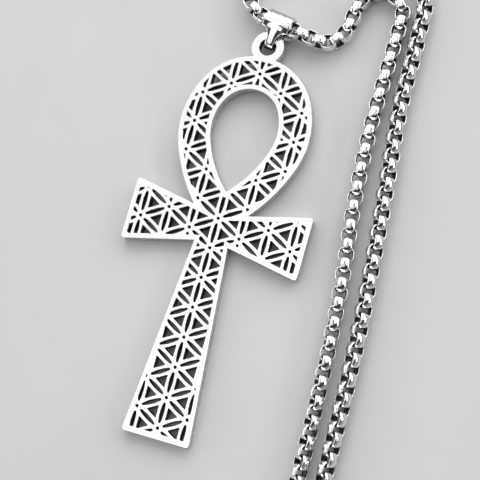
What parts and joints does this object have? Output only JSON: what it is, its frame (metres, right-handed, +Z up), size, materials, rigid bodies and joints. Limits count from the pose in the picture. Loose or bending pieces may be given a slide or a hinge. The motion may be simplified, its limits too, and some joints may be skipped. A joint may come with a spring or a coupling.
{
  "type": "ankh pendant necklace",
  "caption": "Flat ankh pierced with a lattice of interlocking circles, hung from a folded bail on a round box chain that a plain clasp closes into a loop.",
  "frame": {"origin": "on the surface that the necklace lies on, straight under the middle of the ankh's cross", "axes": "+Z is up from the surface, +Y runs along the ankh from its foot to its ring, and +X runs along its right arm"},
  "size_m": [0.0587, 0.2619, 0.0043],
  "materials": {
    "ankh_steel": "mirror-polished stainless steel with fine wear scratches",
    "bail_steel": "polished stainless steel",
    "chain_steel": "polished stainless steel, darker between the links",
    "clasp_steel": "polished stainless steel"
  },
  "bodies": {
    "root": {"ankh": "ankh_steel", "bail": "bail_steel", "chain": "chain_steel", "clasp": "clasp_steel"}
  },
  "joints": []
}
